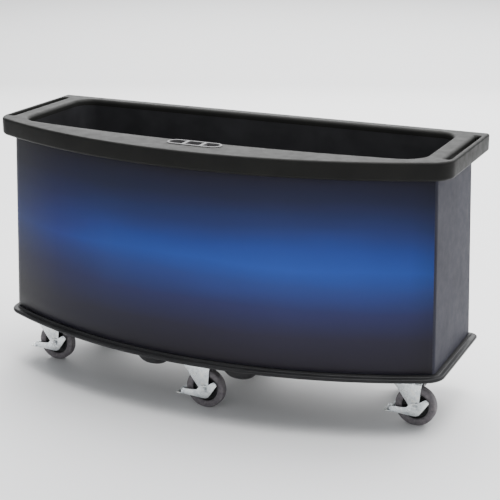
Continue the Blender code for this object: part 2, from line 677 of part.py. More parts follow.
def drain_valve(plastic, metal, grip):
    """Ball valve under the base; its lever swings about a stem that points at the operator."""
    top, bottom, bore = PIPE_BOTTOM - GAP, VALVE_BOTTOM, VALVE_BORE
    body = turned("drain_valve_body", [(bore, top), (0.0190, top), (0.0190, 0.2150),
                                       (0.0250, 0.2090), (0.0250, 0.1780), (0.0190, 0.1720),
                                       (0.0150, 0.1700), (0.0150, bottom), (bore, bottom)], 16)
    neck = turned("neck", [(0, 0.014), (0.011, 0.014), (0.011, VALVE_FACE), (0, VALVE_FACE)], 12, "Y")
    seat = ball("seat", BALL_RADIUS + 0.0008)
    stem_bore = turned("stem_bore", [(0, 0), (0.0045, 0), (0.0045, 0.05), (0, 0.05)], 8, "Y")
    for piece in (neck, seat, stem_bore):
        moved(piece, 0, 0, VALVE_Z)
    body = combine(body, [("UNION", neck), ("DIFFERENCE", seat), ("DIFFERENCE", stem_bore)])
    add_object("drain_valve_body", moved(body, DRAIN_X, DRAIN_Y), plastic)

    stem = turned("stem", [(0, 0), (0.0040, 0), (0.0040, VALVE_FACE + 0.012), (0, VALVE_FACE + 0.012)],
                  8, "Y")
    bore = turned("bore", [(0, -0.03), (0.0095, -0.03), (0.0095, 0.03), (0, 0.03)], 12, "X")
    core = combine(ball("drain_valve_ball", BALL_RADIUS), [("UNION", stem), ("DIFFERENCE", bore)])
    add_object("drain_valve_ball", moved(core, DRAIN_X, DRAIN_Y, VALVE_Z), metal)

    near, far = VALVE_FACE + 0.001, VALVE_FACE + 0.007
    lever = side_plate("drain_valve_handle", [(-0.011, -0.007), (-0.007, -0.011), (0.070, -0.0075),
                                              (0.076, 0.0), (0.070, 0.0075), (-0.007, 0.011),
                                              (-0.011, 0.007)], near, far)
    hole = turned("hole", [(0, 0), (0.0043, 0), (0.0043, 0.06), (0, 0.06)], 8, "Y")
    lever = combine(lever, [("DIFFERENCE", hole)])
    add_object("drain_valve_handle", moved(lever, DRAIN_X, DRAIN_Y, VALVE_Z), grip)


def ball(name, radius):
    """A sphere turned about Y, so that it stays true to its seat as it swings about Y."""
    profile = [(0, -radius)]
    for step in range(1, 6):
        angle = math.pi * (step / 6 - 0.5)
        profile.append((radius * math.cos(angle), radius * math.sin(angle)))
    return turned(name, profile + [(0, radius)], 14, "Y")


# ---------------------------------------------------------------- casters
def caster_plate_mesh():
    """Top plate with its four bolts, bearing race and riveted kingpin, about the swivel axis."""
    size_x, size_y, thickness = PLATE_SIZE
    under = PLATE_TOP - thickness
    outline_points = rounded_rectangle(size_x / 2, size_y / 2, 0.010, 2)
    plate = loft("caster_plate", [ring_at(outline_points, under), ring_at(outline_points, PLATE_TOP)])
    bolts = [moved(turned("bolt", [(0, under - 0.006), (BOLT_RADIUS, under - 0.006),
                                   (BOLT_RADIUS, under + 0.002), (0, under + 0.002)], 6), x, y)
             for x in (-BOLT_PLACE[0], BOLT_PLACE[0]) for y in (-BOLT_PLACE[1], BOLT_PLACE[1])]
    race = turned("race", [(0, under + 0.002), (RACE_RADIUS, under + 0.002), (RACE_RADIUS, under - 0.003),
                           (0.0280, RACE_BOTTOM), (KINGPIN_RADIUS, RACE_BOTTOM),
                           (KINGPIN_RADIUS, CROWN_UNDER - GAP), (0.0120, CROWN_UNDER - GAP),
                           (0.0095, CROWN_UNDER - 0.0050), (0, CROWN_UNDER - 0.0050)], 14)
    return combine(plate, [("UNION", joined("bolts", bolts)), ("UNION", race)])


def caster_fork_mesh():
    """Pressed yoke: two tapering legs under a crown that carries the outer race."""
    outer = FORK_INNER + FORK_WALL
    boss = 0.016
    profile = [(0.042, CROWN_TOP), (-0.056, CROWN_TOP), (-0.059, CROWN_TOP - 0.004), (-0.059, 0.157)]
    profile += [(SWIVEL_TRAIL + boss * math.cos(angle), WHEEL_RADIUS + boss * math.sin(angle))
                for angle in (math.radians(216 + 140 * step / 8) for step in range(9))]
    profile += [(0.045, 0.157), (0.045, CROWN_TOP - 0.004)]
    yoke = side_plate("caster_fork", profile, -outer, outer)
    bowl = turned("bowl", [(0, CROWN_UNDER), (0.0300, CROWN_UNDER), (0.0330, CROWN_UNDER + 0.004),
                           (0.0330, BOWL_TOP - 0.002), (0.0315, BOWL_TOP), (0, BOWL_TOP)], 14)
    channel = block("channel", (-0.1, -FORK_INNER, 0.0), (0.1, FORK_INNER, CROWN_UNDER))
    king = turned("king", [(0, 0.15), (KINGPIN_RADIUS + 0.0005, 0.15),
                           (KINGPIN_RADIUS + 0.0005, 0.19), (0, 0.19)], 14)
    return combine(yoke, [("UNION", bowl), ("DIFFERENCE", channel), ("DIFFERENCE", king),
                          ("DIFFERENCE", axle_hole())])


def axle_hole():
    radius = AXLE_RADIUS + 0.0004
    hole = turned("axle_hole", [(0, -0.06), (radius, -0.06), (radius, 0.06), (0, 0.06)], 12, "Y")
    return moved(hole, SWIVEL_TRAIL, 0, WHEEL_RADIUS)


def caster_axle_mesh(braked):
    """Axle bolt with its hexagon head on one side and nut on the other."""
    face = FORK_INNER + FORK_WALL + (PEDAL_WALL + 0.0008 if braked else 0.0) + GAP
    end = face + 0.006
    shaft = turned("caster_axle", [(0, -end - 0.003), (AXLE_RADIUS, -end - 0.003),
                                   (AXLE_RADIUS, end - 0.001), (0, end - 0.001)], 12, "Y")
    hexagons = [turned("hexagon", [(0, low), (0.0105, low), (0.0105, low + 0.006), (0, low + 0.006)],
                       6, "Y") for low in (face, -end)]
    shaft = combine(shaft, [("UNION", joined("hexagons", hexagons))])
    return moved(shaft, SWIVEL_TRAIL, 0, WHEEL_RADIUS)


def wheel_core_mesh():
    half = [(AXLE_RADIUS + 0.0004, 0.0205), (0.0170, 0.0205), (0.0205, 0.0080), (0.0430, 0.0080),
            (CORE_RADIUS, 0.0135)]
    profile = half + [(radius, -y) for radius, y in reversed(half)]
    return moved(turned("wheel_core", profile, WHEEL_SEGMENTS, "Y"), SWIVEL_TRAIL, 0, WHEEL_RADIUS)


def wheel_tread_mesh():
    side = WHEEL_WIDTH / 2
    half = [(CORE_RADIUS + GAP, side - 0.003), (0.0690, side), (WHEEL_RADIUS, side - 0.008)]
    profile = half + [(radius, -y) for radius, y in reversed(half)]
    return moved(turned("wheel_tread", profile, WHEEL_SEGMENTS, "Y"), SWIVEL_TRAIL, 0, WHEEL_RADIUS)


def brake_pedal_mesh():
    """Stirrup on the axle ends: a plate outside each leg, an ear behind and a foot bar in front."""
    inner = FORK_INNER + FORK_WALL + 0.0005
    profile = [(0.054, 0.022), (0.043, 0.036), (0.014, 0.017), (-0.010, 0.013), (-0.030, -0.005),
               (-0.086, -0.009), (-0.093, -0.014), (-0.093, -0.030), (-0.020, -0.034),
               (0.008, -0.034), (0.024, -0.022)]
    profile = [(x + SWIVEL_TRAIL, z + WHEEL_RADIUS) for x, z in profile]
    outer = inner + PEDAL_WALL
    stirrup = side_plate("brake_pedal", profile, -outer, outer)
    x, z = SWIVEL_TRAIL, WHEEL_RADIUS
    gap = [block("gap", (x - 0.084, -inner, z - 0.06), (x + 0.08, inner, z + 0.06)),
           block("above_foot", (x - 0.12, -inner, z - 0.026), (x - 0.06, inner, z + 0.06))]
    foot = block("foot", (x - 0.112, -outer - 0.004, z - 0.0302), (x - 0.0845, outer + 0.004, z - 0.0262))
    return combine(stirrup, [("DIFFERENCE", gap[0]), ("DIFFERENCE", gap[1]), ("UNION", foot),
                             ("DIFFERENCE", axle_hole())])


def casters(zinc, core, rubber):
    shared = {"caster_plate": (caster_plate_mesh(), zinc), "caster_fork": (caster_fork_mesh(), zinc),
              "wheel_core": (wheel_core_mesh(), core), "wheel_tread": (wheel_tread_mesh(), rubber)}
    braked_only = {"brake_pedal": (brake_pedal_mesh(), zinc)}
    axles = {True: caster_axle_mesh(True), False: caster_axle_mesh(False)}
    for place, x, y, braked in CASTERS:
        pieces = dict(shared)
        pieces["caster_axle"] = (axles[braked], zinc)
        if braked:
            pieces.update(braked_only)
        for name, (mesh, material) in pieces.items():
            item = add_object(f"{name}_{place}", mesh, material)
            item.location = (x, y, 0)


def main():
    clear_scene()
    shell_plastic = make_material("black_polyethylene", (0.030, 0.030, 0.033), 0.45)
    rim_plastic = make_material("rim_polyethylene", (0.055, 0.055, 0.060), 0.42)
    liner_plastic = make_material("liner_polyethylene", (0.022, 0.022, 0.024), 0.40)
    foam = make_material("insulation_foam", (0.78, 0.70, 0.48), 0.90)
    graphic = make_material("blue_graphic", (0.020, 0.060, 0.300), 0.35)
    steel = make_material("painted_steel", (0.10, 0.10, 0.11), 0.50, 0.6)
    insert = make_material("holder_plastic", (0.09, 0.09, 0.095), 0.40)
    grate = make_material("grate_plastic", (0.16, 0.16, 0.17), 0.50)
    fitting = make_material("drain_plastic", (0.60, 0.60, 0.58), 0.45)
    zinc = make_material("zinc_plate", (0.72, 0.75, 0.77), 0.32, 0.9)
    grip = make_material("lever_red", (0.45, 0.03, 0.03), 0.45)
    core = make_material("wheel_core_black", (0.020, 0.020, 0.022), 0.45)
    rubber = make_material("grey_rubber", (0.16, 0.15, 0.16), 0.65)
    top_rim(rim_plastic)
    ice_well(liner_plastic)
    foam_core(foam)
    body_shell(shell_plastic)
    front_panel(graphic)
    base_skirt(shell_plastic)
    support_frame(steel)
    accessory_holder(insert)
    for side in (-1, 1):
        false_bottom(side, grate)
    drain(fitting, zinc, grip)
    casters(zinc, core, rubber)


main()
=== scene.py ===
"""Looks for the mobile ice bar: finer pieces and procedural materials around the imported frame.

Metres, +Z up, origin on the floor under the centre of the bar. -Y is the curved customer side.
"""
import json
import math

import bmesh
import bpy
from mathutils import Matrix, Vector

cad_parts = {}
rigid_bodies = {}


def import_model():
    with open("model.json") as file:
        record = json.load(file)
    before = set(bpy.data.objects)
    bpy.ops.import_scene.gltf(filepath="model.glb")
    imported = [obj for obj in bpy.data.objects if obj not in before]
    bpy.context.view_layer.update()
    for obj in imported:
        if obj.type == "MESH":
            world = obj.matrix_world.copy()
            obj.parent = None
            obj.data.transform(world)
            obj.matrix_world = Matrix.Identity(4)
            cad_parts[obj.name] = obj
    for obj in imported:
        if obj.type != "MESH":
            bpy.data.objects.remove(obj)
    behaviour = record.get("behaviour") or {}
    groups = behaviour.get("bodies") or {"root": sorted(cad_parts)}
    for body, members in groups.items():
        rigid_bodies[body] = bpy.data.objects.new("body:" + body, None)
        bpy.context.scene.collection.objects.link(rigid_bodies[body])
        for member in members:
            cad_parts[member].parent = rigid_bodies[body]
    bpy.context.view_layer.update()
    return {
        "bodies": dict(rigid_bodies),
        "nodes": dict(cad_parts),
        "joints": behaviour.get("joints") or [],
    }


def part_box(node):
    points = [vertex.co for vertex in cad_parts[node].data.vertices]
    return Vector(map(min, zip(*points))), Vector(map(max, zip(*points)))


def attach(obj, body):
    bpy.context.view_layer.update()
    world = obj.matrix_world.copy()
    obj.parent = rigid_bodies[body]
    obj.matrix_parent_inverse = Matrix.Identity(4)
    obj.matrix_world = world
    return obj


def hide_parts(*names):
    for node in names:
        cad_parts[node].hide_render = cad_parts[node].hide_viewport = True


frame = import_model()

# ---------------------------------------------------------------- sizes, in metres
rim_low, rim_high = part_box("top_rim")
shell_low, shell_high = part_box("body_shell")
panel_low, panel_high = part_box("front_panel")
skirt_low, skirt_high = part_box("base_skirt")
well_low, well_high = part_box("ice_well")
holder_low, holder_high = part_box("accessory_holder")
grate_low, grate_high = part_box("false_bottom_right")

GAP = 0.0003                   # clearance between pieces that touch
HALF = rim_high.x
REAR = rim_high.y
HEIGHT = rim_high.z
FASCIA_BOTTOM = rim_low.z
FRONT_BULGE = 0.222
RIM_EDGE_RADIUS = 0.009
RIM_FOOT = 0.011
RIM_BAR = 0.015
RIM_FRONT_CORNER = 0.090
RIM_REAR_CORNER = 0.012
DECK_UNDERSIDE = HEIGHT - 0.008
LIP_THICKNESS = 0.005
LIP_DEPTH = 0.025
LIP_ROLL = 0.014
SLOT_X = (0.862, 0.8845)
SLOT_Y = (-0.095, 0.300)
SLOT_CORNER = 0.010
SLOT_ROLL = 0.014
SLOT_EDGE_X = 0.8478
SLOT_EDGE_BOTTOM = 0.988

WELL_HALF_LENGTH = 0.795
WELL_REAR = 0.309
WELL_FRONT = -0.198
WELL_BULGE = 0.062
WELL_DRAFT = 0.018
WELL_FRONT_CORNER = 0.090
WELL_REAR_CORNER = 0.070
WELL_FLOOR_RADIUS = 0.030
LINER_WALL = 0.004
WELL_FLOOR = well_low.z + LINER_WALL
LINER_TOP = well_high.z

SKIRT_TOP = skirt_high.z
SKIRT_BOTTOM = 0.216
SKIRT_FACE = 0.001
SKIRT_LEDGE = 0.024            # how far in the cove at the foot of the wall starts
SKIRT_COVE = 0.007
SKIRT_LIP = 0.008              # radius over the bumper
SKIRT_FOOT = 0.006             # radius under the bumper
SKIRT_FRONT_CORNER = 0.085
SKIRT_REAR_CORNER = 0.030
PAD_BOTTOM = 0.190
PAD_HALF = (0.060, 0.050)
PAD_CORNER = 0.014
POD_BOTTOM = skirt_low.z
POD_X = 0.178
POD_Y = -0.230
POD_HALF = (0.072, 0.070)
SIDE_INSET = (0.053, 0.031)    # how far the body stands in from the rim, at its top and foot
FRONT_INSET = (0.050, 0.029)
REAR_INSET = (0.035, 0.025)
SHELL_WALL = 0.004
SHELL_CORNER = 0.014
PANEL_THICKNESS = 0.0025

DRAIN_BORE_LINER = 0.022       # radius of the drain's hole in the well's floor
DRAIN_BORE_BASE = 0.020        # radius of the pipe's hole in the base
GRATE_RISE = 0.022             # underside of the false bottoms above the well's floor
GRATE_MARGIN = 0.010           # clearance to the foot of the well's walls
GRATE_FEET_X = (0.10, 0.38, 0.66)
GRATE_FEET_Y = (-0.08, 0.24)
GRATE_SLOT_HALF = (0.050, 0.0028)
GRATE_FIRST_SLOT = (0.045, -0.060)
GRATE_PITCH = (0.0212, 0.128)
GRATE_SLOTS = (33, 3)

HOLDER_Y = (holder_low.y + holder_high.y) / 2
HOLDER_HALF = ((holder_high.x - holder_low.x) / 2, (holder_high.y - holder_low.y) / 2)
HOLDER_FLANGE = 0.0065
POCKET_WALL = 0.006
POCKET_RIB = 0.012

WHEEL_RADIUS = 0.076
WHEEL_WIDTH = 0.034
CORE_RADIUS = 0.050
SWIVEL_TRAIL = 0.022
AXLE_RADIUS = 0.006
FORK_INNER = 0.0215
FORK_WALL = 0.0035
PEDAL_WALL = 0.003
CROWN_UNDER = 0.1645
CROWN_TOP = 0.1695
BOWL_TOP = 0.1755
RACE_BOTTOM = 0.1760
KINGPIN_RADIUS = 0.007
PLATE_SIZE = (0.105, 0.086, 0.004)
PLATE_TOP = PAD_BOTTOM - GAP

# how finely round shapes are cut, and the edge angle in degrees above which shading is sharp
FRONT_STEPS = 96
CORNER_STEPS = 14
WHEEL_STEPS = 96
ROLL_STEPS = 9
SHARP_ANGLE = 35


def arc_through(half_width, apex, bulge):
    """Centre and radius of the front arc with its apex at y=apex and its ends bulge behind it."""
    radius = (half_width ** 2 + bulge ** 2) / (2 * bulge)
    return apex + radius, radius


RIM_ARC_Y, RIM_ARC_RADIUS = arc_through(HALF, -REAR, FRONT_BULGE)
WELL_ARC_Y, WELL_ARC_RADIUS = arc_through(WELL_HALF_LENGTH, WELL_FRONT, WELL_BULGE)


# ---------------------------------------------------------------- mesh helpers
def mesh_from(name, vertices, faces):
    mesh = bpy.data.meshes.new(name)
    mesh.from_pydata(vertices, [], faces)
    work = bmesh.new()
    work.from_mesh(mesh)
    bmesh.ops.recalc_face_normals(work, faces=work.faces)
    work.to_mesh(mesh)
    work.free()
    return mesh


def at_height(outline, z):
    return [(x, y, z) for x, y in outline]


def loft(name, rings, closed=False):
    """Skin rings of equal length; closed joins the last ring to the first, else both are capped."""
    count = len(rings[0])
    vertices = [point for ring in rings for point in ring]
    faces = []
    for step in range(len(rings) if closed else len(rings) - 1):
        low = step * count
        high = ((step + 1) % len(rings)) * count
        for index in range(count):
            after = (index + 1) % count
            faces.append((low + index, low + after, high + after, high + index))
    if not closed:
        faces.append(tuple(reversed(range(count))))
        faces.append(tuple(range((len(rings) - 1) * count, len(rings) * count)))
    return mesh_from(name, vertices, faces)


def arc(centre, radius, start, end, steps):
    """Points on an arc, in degrees, both ends included; radius may be a pair for an ellipse."""
    wide, tall = radius if isinstance(radius, tuple) else (radius, radius)
    points = []
    for step in range(steps + 1):
        angle = math.radians(start + (end - start) * step / steps)
        points.append((centre[0] + wide * math.cos(angle), centre[1] + tall * math.sin(angle)))
    return points


def d_outline(half, rear, arc_y, arc_radius, front_corner, rear_corner):
    """Straight rear and ends, an arc for the front and four rounded corners, anticlockwise."""
    corner_x = half - front_corner
    reach = arc_radius - front_corner
    corner_y = arc_y - math.sqrt(reach ** 2 - corner_x ** 2)
    swing = math.degrees(math.atan2(corner_x, arc_y - corner_y))
    front = arc((0, arc_y), arc_radius, -90 - swing, -90 + swing, FRONT_STEPS)
    front_right = arc((corner_x, corner_y), front_corner, swing - 90, 0, CORNER_STEPS)[1:]
    rear_right = arc((half - rear_corner, rear - rear_corner), rear_corner, 0, 90, CORNER_STEPS)
    rear_left = arc((rear_corner - half, rear - rear_corner), rear_corner, 90, 180, CORNER_STEPS)
    front_left = arc((-corner_x, corner_y), front_corner, 180, 270 - swing, CORNER_STEPS)[:-1]
    return front + front_right + rear_right + rear_left + front_left


def rim_outline(inset, front_corner=RIM_FRONT_CORNER, rear_corner=RIM_REAR_CORNER):
    return d_outline(HALF - inset, REAR - inset, RIM_ARC_Y, RIM_ARC_RADIUS - inset,
                     max(front_corner - inset, 0.004), max(rear_corner - inset, 0.004))


def well_outline(inset):
    return d_outline(WELL_HALF_LENGTH - inset, WELL_REAR - inset, WELL_ARC_Y,
                     WELL_ARC_RADIUS - inset, WELL_FRONT_CORNER - inset, WELL_REAR_CORNER - inset)


def wall_outline(z, deeper):
    """The body shell's outline at height z, moved inwards by deeper."""
    share = (z - SKIRT_TOP) / (FASCIA_BOTTOM - SKIRT_TOP)
    side, front, rear = (low + (high - low) * share
                         for high, low in (SIDE_INSET, FRONT_INSET, REAR_INSET))
    corner = max(SHELL_CORNER - deeper, 0.003)
    front += PANEL_THICKNESS + GAP
    return d_outline(HALF - side - deeper, REAR - rear - deeper, RIM_ARC_Y,
                     RIM_ARC_RADIUS - front - deeper, corner, corner)


def turned(name, profile, segments=WHEEL_STEPS, axis="Z"):
    """A ring or disc turned about an axis, from (radius, height) points.

    A profile that starts off the axis closes on itself, leaving a bore."""
    bored = profile[0][0] > 0
    rings = [[(radius * math.cos(math.tau * step / segments),
               radius * math.sin(math.tau * step / segments), height)
              for step in range(segments)] for radius, height in profile]
    mesh = loft(name, rings if bored else rings[1:-1], closed=bored)
    if axis == "Y":
        mesh.transform(Matrix.Rotation(math.radians(-90), 4, "X"))
    return mesh


def cylinder(name, radius, low, high, segments=48, axis="Z"):
    return turned(name, [(0, low), (radius, low), (radius, high), (0, high)], segments, axis)


def prism(name, outline, low, high):
    return loft(name, [at_height(outline, low), at_height(outline, high)])


def block(name, low, high):
    outline = [(low[0], low[1]), (high[0], low[1]), (high[0], high[1]), (low[0], high[1])]
    return prism(name, outline, low[2], high[2])


def stadium(half_length, half_width, steps=24):
    """A slot outline along X with round ends, centred on the origin."""
    reach = half_length - half_width
    return (arc((reach, 0), half_width, -90, 90, steps)
            + arc((-reach, 0), half_width, 90, 270, steps))


def rounded_rectangle(half_x, half_y, radius, steps=8):
    points = []
    for corner, (side_x, side_y) in enumerate(((1, 1), (-1, 1), (-1, -1), (1, -1))):
        centre = (side_x * (half_x - radius), side_y * (half_y - radius))
        points += arc(centre, radius, 90 * corner, 90 * corner + 90, steps)
    return points


def shift(points, x, y):
    return [(px + x, py + y) for px, py in points]


def centre_of(node):
    """Where the middle of a CAD node lies, seen from above."""
    low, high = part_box(node)
    return (low.x + high.x) / 2, (low.y + high.y) / 2


def side_plate(name, profile, y0, y1):
    """An (x, z) outline given a thickness along Y."""
    return loft(name, [[(x, y0, z) for x, z in profile], [(x, y1, z) for x, z in profile]])


def moved(mesh, x=0.0, y=0.0, z=0.0):
    mesh.transform(Matrix.Translation((x, y, z)))
    return mesh


def joined(name, meshes):
    """Separate closed shapes in one mesh."""
    work = bmesh.new()
    for mesh in meshes:
        work.from_mesh(mesh)
    mesh = bpy.data.meshes.new(name)
    work.to_mesh(mesh)
    work.free()
    return mesh


def combine(mesh, steps):
    """Apply Boolean steps, each an operation and a mesh, and return the finished mesh."""
    item = bpy.data.objects.new("work", mesh)
    bpy.context.scene.collection.objects.link(item)
    tools = []
    for operation, tool_mesh in steps:
        tool = bpy.data.objects.new("tool", tool_mesh)
        bpy.context.scene.collection.objects.link(tool)
        tools.append(tool)
        cut = item.modifiers.new(operation.lower(), "BOOLEAN")
        cut.operation = operation
        cut.object = tool
    graph = bpy.context.evaluated_depsgraph_get()
    graph.update()
    result = bpy.data.meshes.new_from_object(item.evaluated_get(graph))
    for used in [item] + tools:
        bpy.data.objects.remove(used, do_unlink=True)
    return result


def rounded(mesh, width, segments=2, angle=40):
    """The mesh with its edges over angle degrees rounded off."""
    item = bpy.data.objects.new("work", mesh)
    bpy.context.scene.collection.objects.link(item)
    bevel = item.modifiers.new("edges", "BEVEL")
    bevel.width = width
    bevel.segments = segments
    bevel.limit_method = "ANGLE"
    bevel.angle_limit = math.radians(angle)
    bevel.harden_normals = False
    graph = bpy.context.evaluated_depsgraph_get()
    graph.update()
    result = bpy.data.meshes.new_from_object(item.evaluated_get(graph))
    bpy.data.objects.remove(item, do_unlink=True)
    return result


def piece(name, mesh, material, body, replaces, place=None):
    """Show a mesh as one piece of the bar, riding on a CAD body."""
    if not mesh.materials:
        mesh.materials.append(material)
        mesh.shade_smooth()
        mesh.set_sharp_from_angle(angle=math.radians(SHARP_ANGLE))
    item = bpy.data.objects.new(name, mesh)
    bpy.context.scene.collection.objects.link(item)
    if place:
        item.location = place
    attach(item, body)
    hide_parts(*replaces)


# ---------------------------------------------------------------- materials
def display(red, green, blue):
    """A colour as a screen shows it, 0 to 255, turned into the shader's linear values."""
    def linear(value):
        share = value / 255
        return share / 12.92 if share <= 0.04045 else ((share + 0.055) / 1.055) ** 2.4
    return linear(red), linear(green), linear(blue)


class Finish:
    """A material under construction, with its node tree and its shader."""

    def __init__(self, name, roughness, metallic=0.0, specular=0.5):
        self.material = bpy.data.materials.new(name)
        self.material.use_nodes = True
        self.tree = self.material.node_tree
        self.shader = self.tree.nodes["Principled BSDF"]
        self.shader.inputs["Roughness"].default_value = roughness
        self.shader.inputs["Metallic"].default_value = metallic
        self.shader.inputs["Specular IOR Level"].default_value = specular
        self.place = self.add("ShaderNodeTexCoord").outputs["Object"]

    def add(self, kind, **values):
        node = self.tree.nodes.new(kind)
        for key, value in values.items():
            setattr(node, key, value)
        return node

    def link(self, output, target):
        self.tree.links.new(output, target)

    def stretched(self, scale):
        mapping = self.add("ShaderNodeMapping")
        mapping.inputs["Scale"].default_value = scale
        self.link(self.place, mapping.inputs["Vector"])
        return mapping.outputs["Vector"]

    def noise(self, scale, detail=3.0, stretch=None, roughness=0.5):
        node = self.add("ShaderNodeTexNoise")
        node.inputs["Scale"].default_value = scale
        node.inputs["Detail"].default_value = detail
        node.inputs["Roughness"].default_value = roughness
        self.link(self.stretched(stretch) if stretch else self.place, node.inputs["Vector"])
        return node.outputs["Fac"]

    def spread(self, value, low, high, from_low=0.3, from_high=0.7):
        node = self.add("ShaderNodeMapRange")
        for key, number in (("From Min", from_low), ("From Max", from_high),
                            ("To Min", low), ("To Max", high)):
            node.inputs[key].default_value = number
        self.link(value, node.inputs["Value"])
        return node.outputs["Result"]

    def total(self, first, second):
        node = self.add("ShaderNodeMath", operation="ADD")
        self.link(first, node.inputs[0])
        self.link(second, node.inputs[1])
        return node.outputs["Value"]

    def ramp(self, value, stops):
        node = self.add("ShaderNodeValToRGB")
        points = node.color_ramp.elements
        while len(points) < len(stops):
            points.new(0.5)
        for point, (position, colour) in zip(points, stops):
            point.position = position
            point.color = (*colour, 1.0)
        self.link(value, node.inputs["Fac"])
        return node.outputs["Color"]

    def tinted(self, colour, tint):
        """One colour multiplied by another; sockets 6 and 7 are the node's colour inputs."""
        node = self.add("ShaderNodeMix", data_type="RGBA", blend_type="MULTIPLY")
        node.inputs[0].default_value = 1.0
        self.link(colour, node.inputs[6])
        self.link(tint, node.inputs[7])
        return node.outputs[2]

    def colour(self, value):
        self.link(value, self.shader.inputs["Base Color"])

    def rough(self, value):
        self.link(value, self.shader.inputs["Roughness"])

    def bump(self, height, distance, strength=1.0):
        node = self.add("ShaderNodeBump")
        node.inputs["Strength"].default_value = strength
        node.inputs["Distance"].default_value = distance
        self.link(height, node.inputs["Height"])
        if self.shader.inputs["Normal"].is_linked:
            previous = self.shader.inputs["Normal"].links[0].from_socket
            self.link(previous, node.inputs["Normal"])
        self.link(node.outputs["Normal"], self.shader.inputs["Normal"])


def moulded_plastic(name, dark, light, roughness, grain=900.0, grain_depth=0.00006,
                    specular=0.25):
    """Rotationally moulded polyethylene: soft flow mottling, a pebbled skin and rubbed patches."""
    finish = Finish(name, roughness, specular=specular)
    patches = finish.noise(7.0, 4.0)
    finish.colour(finish.ramp(finish.spread(patches, 0.0, 1.0), [(0.0, dark), (1.0, light)]))
    rubbed = finish.noise(28.0, 5.0, roughness=0.65)
    finish.rough(finish.spread(rubbed, roughness - 0.06, roughness + 0.07))
    finish.bump(finish.noise(grain, 2.0), grain_depth, 0.5)
    finish.bump(finish.noise(16.0, 2.0), 0.0008, 0.25)
    return finish.material


def printed_panel(name):
    """Satin printed sheet: a band of blue across the middle that fades to near black.

    The band runs up the sheet; painted shade darkens it from the right of the middle towards both
    ends, most on the left, in place of light falling off across the curve."""
    finish = Finish(name, 0.34, specular=0.14)
    split = finish.add("ShaderNodeSeparateXYZ")
    finish.link(finish.place, split.inputs["Vector"])
    height = finish.spread(split.outputs["Z"], 0.0, 1.0, panel_low.z, FASCIA_BOTTOM)
    cloud = finish.noise(1.6, 2.0, stretch=(0.8, 0.8, 3.0))
    height = finish.total(height, finish.spread(cloud, -0.025, 0.025))
    band = finish.ramp(height, [
        (0.00, display(34, 31, 38)),
        (0.16, display(42, 40, 56)),
        (0.32, display(46, 50, 92)),
        (0.44, display(46, 66, 130)),
        (0.53, display(44, 76, 158)),
        (0.62, display(42, 66, 140)),
        (0.74, display(40, 52, 100)),
        (0.86, display(38, 42, 68)),
        (1.00, display(34, 32, 40)),
    ])
    # painted shade across the width: these greys darken the print towards both ends, most on the
    # left, where the curved sheet turns away from the light
    painted_shade_across = finish.ramp(finish.spread(split.outputs["X"], 0.0, 1.0, -HALF, HALF), [
        (0.00, (0.26, 0.26, 0.26)),
        (0.06, (0.30, 0.30, 0.34)),
        (0.17, (0.38, 0.38, 0.54)),
        (0.31, (0.72, 0.76, 0.80)),
        (0.50, (0.90, 0.90, 0.92)),
        (0.69, (1.00, 1.00, 1.00)),
        (0.84, (0.90, 0.90, 0.92)),
        (0.93, (0.78, 0.78, 0.80)),
        (0.96, (0.66, 0.66, 0.64)),
        (1.00, (0.45, 0.45, 0.45)),
    ])
    finish.colour(finish.tinted(band, painted_shade_across))
    finish.rough(finish.spread(finish.noise(60.0, 4.0), 0.30, 0.38))
    finish.bump(finish.noise(3.0, 1.0), 0.0010, 0.20)
    finish.bump(finish.noise(1400.0, 1.0), 0.00002, 0.4)
    return finish.material


def plated_zinc(name):
    """Bright zinc plate on pressed steel, with cloudy passivation and fine press lines."""
    finish = Finish(name, 0.30, 0.92)
    cloud = finish.noise(55.0, 4.0)
    finish.colour(finish.ramp(finish.spread(cloud, 0.0, 1.0), [
        (0.0, (0.60, 0.64, 0.67)), (0.6, (0.76, 0.79, 0.80)), (1.0, (0.82, 0.82, 0.78))]))
    finish.rough(finish.spread(finish.noise(140.0, 5.0), 0.22, 0.40))
    finish.bump(finish.noise(300.0, 3.0, stretch=(1.0, 1.0, 6.0)), 0.00008, 0.35)
    return finish.material


def wheel_rubber(name):
    """Grey non-marking rubber, dustier and rougher where it rolls."""
    finish = Finish(name, 0.66)
    cloud = finish.noise(80.0, 5.0, roughness=0.6)
    finish.colour(finish.ramp(finish.spread(cloud, 0.0, 1.0), [
        (0.0, display(84, 80, 84)), (1.0, display(120, 115, 118))]))
    finish.rough(finish.spread(finish.noise(200.0, 3.0), 0.58, 0.76))
    finish.bump(finish.noise(900.0, 2.0), 0.00010, 0.5)
    return finish.material


def insulation(name):
    """Cut polyurethane foam with open cells."""
    finish = Finish(name, 0.9)
    cells = finish.add("ShaderNodeTexVoronoi")
    cells.inputs["Scale"].default_value = 420.0
    finish.link(finish.place, cells.inputs["Vector"])
    finish.colour(finish.ramp(cells.outputs["Distance"], [
        (0.0, (0.58, 0.47, 0.26)), (0.7, (0.80, 0.72, 0.50))]))
    finish.bump(cells.outputs["Distance"], 0.0006, 0.6)
    return finish.material


def powder_coat(name):
    finish = Finish(name, 0.5)
    finish.colour(finish.ramp(finish.spread(finish.noise(30.0), 0.0, 1.0), [
        (0.0, (0.030, 0.030, 0.033)), (1.0, (0.050, 0.050, 0.054))]))
    finish.bump(finish.noise(1200.0, 2.0), 0.00012, 0.6)
    return finish.material


def dipped_vinyl(name):
    finish = Finish(name, 0.35)
    finish.colour(finish.ramp(finish.spread(finish.noise(120.0), 0.0, 1.0), [
        (0.0, (0.40, 0.02, 0.02)), (1.0, (0.52, 0.04, 0.035))]))
    finish.bump(finish.noise(500.0), 0.00010, 0.3)
    return finish.material


